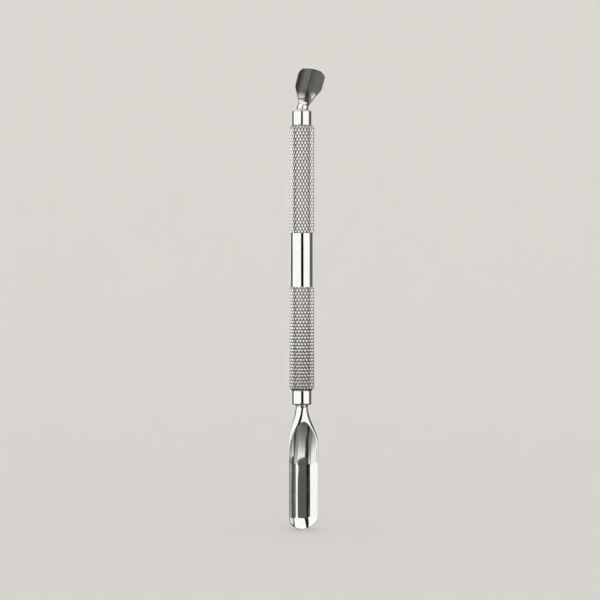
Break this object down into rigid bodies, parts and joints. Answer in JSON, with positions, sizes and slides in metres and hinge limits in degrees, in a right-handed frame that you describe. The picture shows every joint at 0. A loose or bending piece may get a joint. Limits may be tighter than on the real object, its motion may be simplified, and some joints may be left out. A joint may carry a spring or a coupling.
{
  "type": "cuticle pusher",
  "caption": "Double-ended steel cuticle pusher: a long hollow spoon blade and a small forward-bent scoop on a round handle with diamond-knurled grips and a smooth centre band.",
  "frame": {"origin": "on the handle's axis, at the middle of the smooth centre band, where the tool is held", "axes": "+Z along the handle towards the scoop; the hollow sides of both blades face -Y; +X to the right when the hollow sides are seen with the scoop up"},
  "size_m": [0.0084, 0.0122, 0.1264],
  "materials": {
    "knurled_steel": "stainless steel tube, diamond knurl rolled in two bands and lightly buffed, smooth centre band polished",
    "polished_steel": "mirror-polished stainless steel with fine polishing lines"
  },
  "bodies": {
    "root": {"handle_tube": "knurled_steel", "upper_end_plug": "polished_steel", "lower_end_plug": "polished_steel", "spoon_pusher": "polished_steel", "angled_scoop": "polished_steel"}
  },
  "joints": []
}
